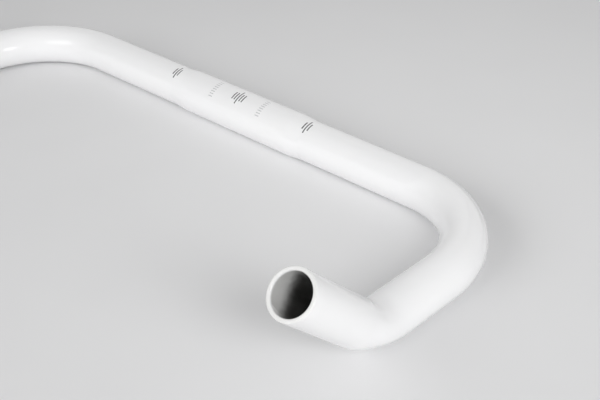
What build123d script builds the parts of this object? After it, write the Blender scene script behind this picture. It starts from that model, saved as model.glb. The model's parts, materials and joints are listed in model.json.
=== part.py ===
"""Bullhorn handlebar: one aluminium tube, swollen at the clamp and bent twice on each side.

The origin is the middle of the clamp, on the tube's axis. X runs along the clamp, the horns
reach forward along -Y, and Z is up when the bar lies on a table. Sizes are in millimetres
and angles in degrees.
"""

import os
from math import asin, degrees, pi, sin

from build123d import *

# Tube and clamp swell
tube_diameter = 23.8
tube_wall = 2.1
clamp_diameter = 25.4
clamp_length = 84.0
clamp_taper = 10.0

# Centre line of one side: centre, sweep bend, run, rising bend, tip
centre_half = 127.5
sweep_radius = 58.0
sweep_angle = 90.0
run_length = 36.5
rise_radius = 38.0
rise_angle = 43.0
tip_length = 51.5

# The rising bend is tight, so the tube flattens there, as a share of its diameter
rise_flattening = 0.14
rise_widening = 0.05
flattening_reach = 1.0
rise_sections = 8

mouth_chamfer = 0.4

tube_radius = tube_diameter / 2
clamp_radius = clamp_diameter / 2
taper_start = clamp_length / 2
taper_end = taper_start + clamp_taper
round_run = run_length - flattening_reach
round_tip = tip_length - flattening_reach

# The bar lies on its swell and on both runs, which drops the horns by this angle
lie_angle = degrees(asin((clamp_radius - tube_radius) / (sweep_radius + round_run)))
bend_plane = Plane.XY.rotated((lie_angle, 0, 0))

with BuildLine(bend_plane) as sweep_path:
    centre = Line((taper_end, 0), (centre_half, 0))
    sweep_bend = JernArc(centre @ 1, centre % 1, sweep_radius, -sweep_angle)
    run = Line(sweep_bend @ 1, sweep_bend @ 1 + sweep_bend % 1 * round_run)

heading = run % 1
across = heading.cross(bend_plane.z_dir)
rise_plane = Plane(origin=run @ 1, x_dir=heading, z_dir=across)

with BuildLine(rise_plane) as rise_path:
    lead_in = Line((0, 0), (flattening_reach, 0))
    rise_bend = JernArc(lead_in @ 1, lead_in % 1, rise_radius, rise_angle)
    lead_out = Line(rise_bend @ 1, rise_bend @ 1 + rise_bend % 1 * flattening_reach)

rise_wire = rise_path.wire()
tip_plane = Plane(origin=lead_out @ 1, x_dir=across, z_dir=lead_out % 1)


def half_bar(inset):
    """One side of the bar as a solid, its surface drawn in by the inset."""
    swell = clamp_radius - inset
    radius = tube_radius - inset
    with BuildPart() as half:
        with BuildSketch():
            with BuildLine():
                Polyline(
                    (0, 0),
                    (0, swell),
                    (taper_start, swell),
                    (taper_end, radius),
                    (taper_end, 0),
                    close=True,
                )
            make_face()
        revolve(axis=Axis.X)

        with BuildSketch(Plane(origin=centre @ 0, z_dir=centre % 0)):
            Circle(radius)
        sweep(path=sweep_path.line)

        for section in range(rise_sections + 1):
            distance = rise_wire.length * section / rise_sections
            flatness = sin(pi * section / rise_sections) ** 2
            width = tube_radius * (1 + rise_widening * flatness) - inset
            height = tube_radius * (1 - rise_flattening * flatness) - inset
            station = Plane(
                origin=rise_wire.position_at(distance, PositionMode.LENGTH),
                x_dir=across,
                z_dir=rise_wire.tangent_at(distance, PositionMode.LENGTH),
            )
            with BuildSketch(station):
                Ellipse(width, height)
        loft()

        with BuildSketch(tip_plane):
            Circle(radius)
        extrude(amount=round_tip)
    return half.part


outside = half_bar(0)
bore = half_bar(tube_wall)

with BuildPart() as handlebar_tube:
    add(outside)
    add(bore, mode=Mode.SUBTRACT)
    mirror(about=Plane.YZ)
    mouths = handlebar_tube.faces().filter_by(GeomType.PLANE)
    chamfer(mouths.edges(), mouth_chamfer)

handlebar_tube.part.label = "handlebar_tube"

os.makedirs("parts", exist_ok=True)
export_step(handlebar_tube.part, "parts/handlebar_tube.step")
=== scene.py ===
"""Bullhorn handlebar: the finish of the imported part, and a studio view of it.

Everything is in metres, in the frame of the part: X along the clamp, the horns along -Y, Z up.
"""

import json
from math import asin, atan2, cos, pi, radians, sin

import bpy
from mathutils import Matrix, Vector


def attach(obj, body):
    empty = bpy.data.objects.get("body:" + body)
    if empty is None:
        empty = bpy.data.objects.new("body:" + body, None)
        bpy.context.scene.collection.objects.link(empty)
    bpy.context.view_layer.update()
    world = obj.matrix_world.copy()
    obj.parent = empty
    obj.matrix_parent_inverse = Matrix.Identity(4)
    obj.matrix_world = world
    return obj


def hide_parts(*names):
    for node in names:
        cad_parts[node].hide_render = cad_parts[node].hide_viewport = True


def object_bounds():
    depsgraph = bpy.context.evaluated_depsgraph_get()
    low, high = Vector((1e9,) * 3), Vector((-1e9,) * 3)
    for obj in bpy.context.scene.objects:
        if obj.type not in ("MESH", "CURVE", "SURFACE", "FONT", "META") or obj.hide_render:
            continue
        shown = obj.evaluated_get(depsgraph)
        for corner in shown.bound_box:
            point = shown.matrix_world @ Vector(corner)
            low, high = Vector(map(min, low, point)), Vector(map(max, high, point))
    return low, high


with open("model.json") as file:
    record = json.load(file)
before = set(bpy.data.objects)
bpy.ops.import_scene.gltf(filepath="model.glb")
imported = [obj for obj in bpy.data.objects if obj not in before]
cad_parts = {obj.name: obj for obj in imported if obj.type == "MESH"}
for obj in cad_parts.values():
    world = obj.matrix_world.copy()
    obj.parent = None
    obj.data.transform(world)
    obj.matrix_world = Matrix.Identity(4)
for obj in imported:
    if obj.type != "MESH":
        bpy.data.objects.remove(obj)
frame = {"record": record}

cad_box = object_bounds()
mounts = {mount["name"]: mount for mount in frame["record"]["mounts"]}

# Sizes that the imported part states
clamp_radius = mounts["stem_clamp"]["dims"]["r_mm"] / 1000
clamp_length = mounts["stem_clamp"]["dims"]["length_mm"] / 1000
tube_radius = mounts["right_grip"]["dims"]["r_mm"] / 1000
bore_radius = mounts["right_bar_end"]["dims"]["r_mm"] / 1000
tip_length = mounts["right_bar_end"]["dims"]["length_mm"] / 1000
tip_middle = Vector(mounts["right_bar_end"]["pos_m"])
tip_axis = Vector(mounts["right_bar_end"]["axis"])
tube_wall = tube_radius - bore_radius
floor_height = cad_box[0][2]

# Sizes of the tube that the mounts leave out
clamp_taper = 0.010
centre_half = 0.1275
sweep_radius = 0.058
run_length = 0.0355
rise_radius = 0.038
rise_reach = 0.001
rise_flattening = 0.14
rise_widening = 0.05
mouth_chamfer = 0.0004
mouth_edge = 0.0009

# Fineness of the tube's mesh
girth_points = 144
bend_step = radians(1.5)
straight_step = 0.006
edge_steps = 8

# Slots of the tube's materials
paint_slot = 0
bore_slot = 1
dark_ink_slot = 2
pale_ink_slot = 3

# Printed scales on the middle; angles go round the bar, up from the front
scale_angle = radians(71)
end_scale_place = 0.053
end_scale_arcs = [radians(25), radians(45), radians(25)]
centre_scale_arcs = [radians(45), radians(25), radians(25)]
line_width = 0.0008
line_pitch = 0.0019
tick_place = 0.019
tick_length = 0.003
tick_width = radians(2.5)
tick_pitch = radians(7.5)
tick_count = 8

# Most of a noise texture's levels lie between these
noise_span = (0.3, 0.7)

# White paint, with painted shade darkening the lips that face the lamps; depths are behind the
# plane of the mouths
paint_shades = [(0.89, 0.89, 0.90), (0.91, 0.91, 0.91)]
paint_scale = 38.0
paint_roughness = (0.40, 0.50)
paint_roughness_scale = 160.0
paint_specular = 0.15
painted_lip_shade = (0.77, 0.77, 0.76)
painted_lip_depths = (0.0005, 0.0013)
lip_edge_scale = 900.0
lip_edge_reach = 0.0006

# Clear coat over the paint and the ink
peel_scale = 620.0
peel_strength = 0.10
peel_height = 0.00003
coat_roughness = 0.03

# Printing ink, and how much paler it is where it is thin
dark_ink_shade = (0.085, 0.085, 0.09)
pale_ink_shade = (0.50, 0.50, 0.51)
thin_ink = 1.25
ink_scale = 1500.0
ink_roughness = 0.45

# Paint dust in the bore, with painted light in it: the dust reaches deepest on the wall towards the
# middle of the bar, and deeper low than high, after where the lamps light the wall; the leans are
# shares of the distance from that wall and of the height
# Painted light: the dust's shade is paler deeper in, where less light reaches
dust_and_lit_shades = [(0.51, 0.51, 0.50), (0.67, 0.67, 0.66)]
dust_and_lit_shade_depths = (0.001, 0.009)
dust_and_lit_depths = (0.0115, 0.0215)
lit_lean_out = 1.35
lit_lean_up = 0.21
dust_scale = 420.0
dust_reach = 0.006

# The dust is palest at the mouth, and pale dust reaches deeper under a drop below the bore's axis
spray_shade = (0.74, 0.74, 0.735)
spray_depths = (0.0005, 0.0022)
spray_drop = 0.007
spray_lean = 2.0

# Bare metal of the bore, with lines along the tip
metal_shades = [(0.50, 0.50, 0.49), (0.70, 0.70, 0.69)]
metal_roughness = (0.42, 0.58)
draw_line_size = (0.0010, 0.0010, 0.040)
draw_line_strength = 0.25
draw_line_height = 0.00004

# The floor's colour holds painted light: palest in a painted pool of light, and painted pale again
# beyond the lamps
floor_half = 3.0
floor_shade = (0.595, 0.595, 0.60)
floor_roughness = 0.6
floor_specular = 0.1
mottle_scale = 14.0
mottle_strength = 0.12
pool_shade = (0.865, 0.865, 0.87)
pool_place = Vector((0.069, 0.203, floor_height))
pool_spread = 0.40
far_shade = (0.92, 0.92, 0.925)
far_distances = (0.75, 1.35)

# The camera of the photograph, for an image 600 pixels wide
camera_point = Vector((0.44800, -0.43410, 0.31870))
camera_target = Vector((0.09066, -0.05086, 0.0))
camera_roll = radians(-0.526)
camera_clip = 0.01
focal_pixels = 1192.3
image_width = 600
sensor_width = 36.0

# Even studio light, and soft glows on a backdrop behind the bar: azimuth, elevation, focus and
# strength
even_strength = 0.395
backdrop_glows = [(180, 5, 16, 0.50), (210, 32, 16, 0.54), (225, 5, 16, 0.31)]

# Lamps round the bar: azimuth, elevation, width, height and power. Gloss mirrors the softboxes
# alone, and fills at the same places share their power, so that the glints stay below white
lamp_aim = Vector((0.05, -0.06, 0.0))
lamp_distance = 1.35
lamp_spread = radians(100)
softboxes = {
    "front_softbox": (357, 30, 0.86, 0.62, 1.04),
    "side_softbox": (82, 18, 0.53, 0.42, 0.88),
}
fills = {
    "key_fill": (65, 30, 0.50, 0.50, 1.82),
    "front_fill": (357, 30, 0.86, 0.62, 1.36),
    "side_fill": (82, 18, 0.53, 0.42, 0.15),
    "left_fill": (318, 35, 0.50, 0.50, 0.36),
}

# Where the white bar meets the pale floor, light passes many times between them
diffuse_bounces = 12


def add_node(tree, kind, **values):
    """A shader node with its inputs set by name, to a value or to another node's output."""
    node = tree.nodes.new(kind)
    for name, value in values.items():
        if name.startswith("in_"):
            join(tree, value, node.inputs[name[3:].replace("_", " ")])
        else:
            setattr(node, name, value)
    return node


def join(tree, value, socket):
    """Sets a socket to a value, or links another node's output to it."""
    if isinstance(value, bpy.types.NodeSocket):
        tree.links.new(value, socket)
    else:
        socket.default_value = value


def math_node(tree, operation, *values):
    """The output of a Math node over numbers or other outputs."""
    node = add_node(tree, "ShaderNodeMath", operation=operation)
    for socket, value in zip(node.inputs, values):
        join(tree, value, socket)
    return node.outputs[0]


def dot_node(tree, vector, direction):
    """How far a vector output reaches along a fixed direction."""
    node = add_node(tree, "ShaderNodeVectorMath", operation="DOT_PRODUCT")
    join(tree, vector, node.inputs[0])
    join(tree, direction, node.inputs[1])
    return node.outputs["Value"]


def noise_node(tree, place, scale, detail=2.0):
    """The level of a noise texture."""
    node = add_node(tree, "ShaderNodeTexNoise", in_Vector=place, in_Scale=scale, in_Detail=detail)
    return node.outputs["Fac"]


def range_node(tree, value, source, target):
    """A value eased from one range to another and held at its ends."""
    node = add_node(tree, "ShaderNodeMapRange", interpolation_type="SMOOTHSTEP", in_Value=value)
    for name, number in zip(("From Min", "From Max", "To Min", "To Max"), (*source, *target)):
        node.inputs[name].default_value = number
    return node.outputs["Result"]


def blend_node(tree, share, first, second):
    """A colour between two fixed ones, given as red, green and blue."""
    ramp = add_node(tree, "ShaderNodeValToRGB", in_Fac=share)
    ramp.color_ramp.elements[0].color = (*first, 1)
    ramp.color_ramp.elements[1].color = (*second, 1)
    return ramp.outputs["Color"]


def mix_node(tree, share, first, second):
    """A colour between two outputs, or between an output and a fixed colour with its alpha."""
    node = add_node(tree, "ShaderNodeMix", data_type="RGBA", in_Factor=share)
    # The colour sockets come after those for numbers and vectors
    join(tree, first, node.inputs[6])
    join(tree, second, node.inputs[7])
    return node.outputs[2]


def new_material(name):
    """A material with its node tree, its shader and the place on the part as a vector."""
    material = bpy.data.materials.new(name)
    material.use_nodes = True
    tree = material.node_tree
    place = add_node(tree, "ShaderNodeTexCoord").outputs["Object"]
    return material, tree, tree.nodes["Principled BSDF"], place


def clear_coat(tree, shader, place):
    """A hard clear coat with a faint orange peel."""
    peel = noise_node(tree, place, peel_scale)
    bump = add_node(tree, "ShaderNodeBump", in_Strength=peel_strength, in_Height=peel)
    bump.inputs["Distance"].default_value = peel_height
    join(tree, bump.outputs["Normal"], shader.inputs["Normal"])
    join(tree, bump.outputs["Normal"], shader.inputs["Coat Normal"])
    shader.inputs["Coat Weight"].default_value = 1.0
    shader.inputs["Coat Roughness"].default_value = coat_roughness


def mouth_depth(tree, place):
    """How far a place on the bar lies behind the plane of its two mouths."""
    mouth_level = tip_middle.dot(tip_axis) + tip_length / 2 + mouth_chamfer
    return math_node(tree, "SUBTRACT", mouth_level, dot_node(tree, place, tip_axis))


def paint_material():
    """Gloss white paint whose tint and gloss drift a little over the bar, with painted shade
    darkening the lips.
    """
    material, tree, shader, place = new_material("gloss_white_paint")
    tint = blend_node(tree, noise_node(tree, place, paint_scale, detail=3.0), *paint_shades)
    lip_edge_specks = noise_node(tree, place, lip_edge_scale, detail=3.0)
    lip_edge_depth = math_node(tree, "MULTIPLY_ADD", lip_edge_specks, lip_edge_reach, mouth_depth(tree, place))
    # Painted shade: the lips are painted darker, dimming the lamps' light on their faces
    lip_shade_share = range_node(tree, lip_edge_depth, painted_lip_depths, (1.0, 0.0))
    join(tree, mix_node(tree, lip_shade_share, tint, (*painted_lip_shade, 1)), shader.inputs["Base Color"])
    gloss = noise_node(tree, place, paint_roughness_scale)
    join(tree, range_node(tree, gloss, noise_span, paint_roughness), shader.inputs["Roughness"])
    shader.inputs["Specular IOR Level"].default_value = paint_specular
    clear_coat(tree, shader, place)
    return material


def ink_material(name, shade):
    """Printing ink under the clear coat, a little thin in places."""
    material, tree, shader, place = new_material(name)
    thin_shade = [thin_ink * part for part in shade]
    tint = blend_node(tree, noise_node(tree, place, ink_scale), shade, thin_shade)
    join(tree, tint, shader.inputs["Base Color"])
    shader.inputs["Roughness"].default_value = ink_roughness
    clear_coat(tree, shader, place)
    return material


def bore_material():
    """Drawn aluminium inside the tube, with paint dust that thins out from the mouth, and painted
    light in the dust's reach and shade.
    """
    material, tree, shader, place = new_material("bare_bore")
    depth = mouth_depth(tree, place)
    tip_up = Vector((0, tip_axis.z, -tip_axis.y))
    height = math_node(tree, "SUBTRACT", dot_node(tree, place, tip_up), tip_middle.dot(tip_up))
    across = math_node(tree, "ABSOLUTE", dot_node(tree, place, Vector((1, 0, 0))))
    out = math_node(tree, "SUBTRACT", across, tip_middle.x - bore_radius)

    # Painted light: the dust's cover leans after where the lamps light the wall
    lean = math_node(tree, "MULTIPLY_ADD", out, lit_lean_out, depth)
    lean = math_node(tree, "MULTIPLY_ADD", height, lit_lean_up, lean)
    specks = noise_node(tree, place, dust_scale, detail=4.0)
    reach = math_node(tree, "MULTIPLY_ADD", specks, dust_reach, lean)
    cover = range_node(tree, reach, dust_and_lit_depths, (1.0, 0.0))

    below = math_node(tree, "MINIMUM", math_node(tree, "ADD", height, spray_drop), 0.0)
    spray = math_node(tree, "MULTIPLY_ADD", below, spray_lean, depth)
    spray = range_node(tree, spray, spray_depths, (1.0, 0.0))
    # Painted light: the dust is paler deeper in, where less light reaches
    dust_and_lit_shade = blend_node(tree, range_node(tree, depth, dust_and_lit_shade_depths, (0.0, 1.0)), *dust_and_lit_shades)
    dust_and_lit_shade = mix_node(tree, spray, dust_and_lit_shade, (*spray_shade, 1))

    along = add_node(tree, "ShaderNodeMapping", vector_type="TEXTURE", in_Vector=place)
    along.inputs["Rotation"].default_value = (atan2(-tip_axis.y, tip_axis.z), 0, 0)
    along.inputs["Scale"].default_value = draw_line_size
    lines = noise_node(tree, along.outputs["Vector"], 1.0, detail=3.0)
    metal = blend_node(tree, lines, *metal_shades)
    bump = add_node(tree, "ShaderNodeBump", in_Strength=draw_line_strength, in_Height=lines)
    bump.inputs["Distance"].default_value = draw_line_height

    join(tree, mix_node(tree, cover, metal, dust_and_lit_shade), shader.inputs["Base Color"])
    join(tree, math_node(tree, "SUBTRACT", 1.0, cover), shader.inputs["Metallic"])
    join(tree, range_node(tree, lines, noise_span, metal_roughness), shader.inputs["Roughness"])
    join(tree, bump.outputs["Normal"], shader.inputs["Normal"])
    return material


def floor_material():
    """Pale card with a faint mottle, a painted pool of light and painted paleness far beyond the
    lamps.
    """
    material, tree, shader, place = new_material("pale_floor")
    distance = add_node(tree, "ShaderNodeVectorMath", operation="DISTANCE")
    join(tree, place, distance.inputs[0])
    join(tree, pool_place, distance.inputs[1])
    away = distance.outputs["Value"]
    spreads = math_node(tree, "DIVIDE", away, pool_spread)
    fall = math_node(tree, "MULTIPLY", math_node(tree, "POWER", spreads, 2.0), -0.5)
    specks = noise_node(tree, place, mottle_scale)
    mottle = math_node(tree, "MULTIPLY_ADD", specks, mottle_strength, -mottle_strength / 2)
    pool = math_node(tree, "ADD", math_node(tree, "EXPONENT", fall), mottle)
    # Painted light: the floor's colour is palest in the pool, and pale again far off
    near = blend_node(tree, pool, floor_shade, pool_shade)
    far = range_node(tree, away, far_distances, (0.0, 1.0))
    join(tree, mix_node(tree, far, near, (*far_shade, 1)), shader.inputs["Base Color"])
    shader.inputs["Roughness"].default_value = floor_roughness
    shader.inputs["Specular IOR Level"].default_value = floor_specular
    return material


def printed_marks():
    """Printed patches on the middle: their ends along X and round the bar, and the ink's slot."""
    patches = []

    def line(place, arc):
        start = place - line_width / 2
        low = scale_angle - arc / 2
        patches.append((start, start + line_width, low, low + arc, dark_ink_slot))

    for step, arc in enumerate(centre_scale_arcs):
        line(step * line_pitch, arc)
        if step:
            line(-step * line_pitch, arc)
    for side in (-1, 1):
        for step, arc in enumerate(end_scale_arcs):
            line(side * (end_scale_place + (step - 1) * line_pitch), arc)
        for step in range(tick_count):
            start = side * tick_place - tick_length / 2
            low = scale_angle + (step - tick_count / 2) * tick_pitch
            patches.append((start, start + tick_length, low, low + tick_width, pale_ink_slot))
    return patches


def middle_radius(place):
    """Radius of the straight middle: the clamp's swell, then a cone down to the tube."""
    share = (place - clamp_length / 2) / clamp_taper
    return clamp_radius + (tube_radius - clamp_radius) * min(1, max(0, share))


def middle_places(patches):
    """Where the middle has rings: even steps, the cone's ends and the edges of the print."""
    steps = round(centre_half / straight_step)
    places = [centre_half * step / steps for step in range(steps + 1)]
    places += [clamp_length / 2, clamp_length / 2 + clamp_taper]
    places += [abs(edge) for patch in patches for edge in patch[:2]]
    return sorted({round(place, 6) for place in places})


def half_path(middle):
    """Stations of the right half, centre to mouth: place, heading, up, half width, half height."""
    # The bar lies on its swell and on both runs, which drops the runs a little
    lie = asin((clamp_radius - tube_radius) / (sweep_radius + run_length))
    ahead = Vector((0, -cos(lie), -sin(lie)))
    up = Vector((0, -sin(lie), cos(lie)))
    out = Vector((1, 0, 0))
    stations = []

    def station(place, heading, up, flatness=0.0, radius=tube_radius):
        width = radius + tube_radius * rise_widening * flatness
        height = radius - tube_radius * rise_flattening * flatness
        stations.append((place, heading, up, width, height))

    def straight(start, heading, up, length):
        steps = max(1, round(length / straight_step))
        for step in range(1, steps + 1):
            station(start + heading * (length * step / steps), heading, up)
        return start + heading * length

    for place in middle:
        station(out * place, out, up, radius=middle_radius(place))

    steps = round(pi / 2 / bend_step)
    pivot = out * centre_half + ahead * sweep_radius
    for step in range(1, steps + 1):
        turn = pi / 2 * step / steps
        place = pivot + (out * sin(turn) - ahead * cos(turn)) * sweep_radius
        station(place, out * cos(turn) + ahead * sin(turn), up)
    end = straight(pivot + out * sweep_radius, ahead, up, run_length)

    rise_angle = ahead.angle(tip_axis)
    arc = rise_radius * rise_angle
    pivot = end + ahead * rise_reach + up * rise_radius
    steps = round(rise_angle / bend_step)
    for step in range(steps + 1):
        turn = rise_angle * step / steps
        share = (rise_reach + arc * step / steps) / (arc + 2 * rise_reach)
        place = pivot + (ahead * sin(turn) - up * cos(turn)) * rise_radius
        heading = ahead * cos(turn) + up * sin(turn)
        tip_up = up * cos(turn) - ahead * sin(turn)
        station(place, heading, tip_up, flatness=sin(pi * share) ** 2)
    end = place + heading * rise_reach
    station(end, heading, tip_up)
    straight(end, heading, tip_up, tip_length + mouth_chamfer - mouth_edge)
    return stations


def mirrored(station):
    """The same station on the left half, heading from the left mouth to the centre."""
    place, heading, up, width, height = station
    flip = Vector((-1, 1, 1))
    return place * flip, -(heading * flip), up * flip, width, height


def ring(station, inset, ahead=0.0):
    """Points round the tube at a station, drawn in by the inset and moved along the heading."""
    place, heading, up, width, height = station
    side = heading.cross(up)
    points = []
    for index in range(girth_points):
        turn = 2 * pi * index / girth_points
        offset = side * ((width - inset) * cos(turn)) + up * ((height - inset) * sin(turn))
        points.append(place + heading * ahead + offset)
    return points


def mouth_rings(station, side):
    """Rings over the rounded lip of an open end, from the outside to the bore."""
    turns = [pi / 2 * step / edge_steps for step in range(edge_steps + 1)]
    rings = []
    for turn in turns:
        rings.append(ring(station, mouth_edge * (1 - cos(turn)), side * mouth_edge * sin(turn)))
    for turn in turns:
        inset = tube_wall - mouth_edge * (1 - sin(turn))
        rings.append(ring(station, inset, side * mouth_edge * cos(turn)))
    return rings


def tube_piece(materials):
    """The bent tube as one closed skin: outside with its print, right lip, bore and left lip."""
    patches = printed_marks()
    half = half_path(middle_places(patches))
    stations = [mirrored(station) for station in reversed(half[1:])] + half
    rings = [ring(station, 0) for station in stations]
    rings += mouth_rings(stations[-1], 1)[1:]
    bore_start = len(rings) - 1
    rings += [ring(station, tube_wall) for station in reversed(stations[:-1])]
    bore_end = len(rings) - 1
    rings += mouth_rings(stations[0], -1)[::-1][1:-1]

    def slot_of(row, index):
        if row >= len(stations) - 1:
            return bore_slot if bore_start <= row < bore_end else paint_slot
        middle = (stations[row][0].x + stations[row + 1][0].x) / 2
        turn = 2 * pi * (index + 0.5) / girth_points
        for start, end, low, high, slot in patches:
            if start < middle < end and low < turn < high:
                return slot
        return paint_slot

    vertices = [point for points in rings for point in points]
    faces = []
    slots = []
    for row in range(len(rings)):
        following = (row + 1) % len(rings)
        for index in range(girth_points):
            beside = (index + 1) % girth_points
            faces.append((
                row * girth_points + index,
                row * girth_points + beside,
                following * girth_points + beside,
                following * girth_points + index,
            ))
            slots.append(slot_of(row, index))
    mesh = bpy.data.meshes.new("handlebar")
    mesh.from_pydata(vertices, [], faces)
    for material in materials:
        mesh.materials.append(material)
    mesh.polygons.foreach_set("material_index", slots)
    mesh.shade_smooth()
    mesh.update()
    piece = bpy.data.objects.new("handlebar", mesh)
    bpy.context.scene.collection.objects.link(piece)
    return piece


def add_floor():
    """A square of floor that the bar rests on."""
    signs = [(-1, -1), (1, -1), (1, 1), (-1, 1)]
    corners = [(x * floor_half, y * floor_half, floor_height) for x, y in signs]
    mesh = bpy.data.meshes.new("floor")
    mesh.from_pydata(corners, [], [(0, 1, 2, 3)])
    mesh.materials.append(floor_material())
    floor = bpy.data.objects.new("floor", mesh)
    bpy.context.scene.collection.objects.link(floor)


def add_camera():
    """A camera at the photograph's angle."""
    data = bpy.data.cameras.new("camera")
    data.sensor_width = sensor_width
    data.lens = focal_pixels * sensor_width / image_width
    data.clip_start = camera_clip
    camera = bpy.data.objects.new("camera", data)
    turn = (camera_target - camera_point).to_track_quat("-Z", "Y").to_matrix().to_4x4()
    roll = Matrix.Rotation(camera_roll, 4, "Z")
    camera.matrix_world = Matrix.Translation(camera_point) @ turn @ roll
    bpy.context.scene.collection.objects.link(camera)
    bpy.context.scene.camera = camera


def direction_at(azimuth, elevation):
    """A direction by its degrees: azimuth 0 is in front along -Y, and 90 along +X."""
    turn, rise = radians(azimuth), radians(elevation)
    return Vector((sin(turn) * cos(rise), -cos(turn) * cos(rise), sin(rise)))


def add_lamp(name, azimuth, elevation, width, height, power, mirrored_by_gloss):
    """An area lamp aimed at the bar; one that gloss doesn't mirror still lights and shades."""
    direction = direction_at(azimuth, elevation)
    data = bpy.data.lights.new(name, "AREA")
    data.shape = "RECTANGLE"
    data.size = width
    data.size_y = height
    data.energy = power
    data.spread = lamp_spread
    lamp = bpy.data.objects.new(name, data)
    lamp.location = lamp_aim + direction * lamp_distance
    lamp.rotation_euler = direction.to_track_quat("Z", "Y").to_euler()
    lamp.visible_glossy = mirrored_by_gloss
    bpy.context.scene.collection.objects.link(lamp)


def add_world():
    """Even studio light, and a backdrop's glows that only the camera and gloss see."""
    world = bpy.data.worlds.new("studio")
    bpy.context.scene.world = world
    world.use_nodes = True
    tree = world.node_tree
    direction = add_node(tree, "ShaderNodeTexCoord").outputs["Generated"]
    backdrop = 0.0
    for azimuth, elevation, focus, strength in backdrop_glows:
        towards = dot_node(tree, direction, direction_at(azimuth, elevation))
        glow = math_node(tree, "POWER", math_node(tree, "MULTIPLY_ADD", towards, 0.5, 0.5), focus)
        backdrop = math_node(tree, "MULTIPLY_ADD", glow, strength, backdrop)
    rays = add_node(tree, "ShaderNodeLightPath").outputs
    seen = math_node(tree, "MAXIMUM", rays["Is Camera Ray"], rays["Is Glossy Ray"])
    light = math_node(tree, "MULTIPLY_ADD", backdrop, seen, even_strength)
    background = tree.nodes["Background"]
    background.inputs["Color"].default_value = (1, 1, 1, 1)
    join(tree, light, background.inputs["Strength"])


inks = [ink_material("dark_ink", dark_ink_shade), ink_material("pale_ink", pale_ink_shade)]
tube = tube_piece([paint_material(), bore_material()] + inks)
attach(tube, "root")
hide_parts("handlebar_tube")
add_floor()
add_camera()
for name, lamp in softboxes.items():
    add_lamp(name, *lamp, mirrored_by_gloss=True)
for name, lamp in fills.items():
    add_lamp(name, *lamp, mirrored_by_gloss=False)
add_world()
bpy.context.scene.view_settings.view_transform = "Standard"
bpy.context.scene.cycles.diffuse_bounces = diffuse_bounces
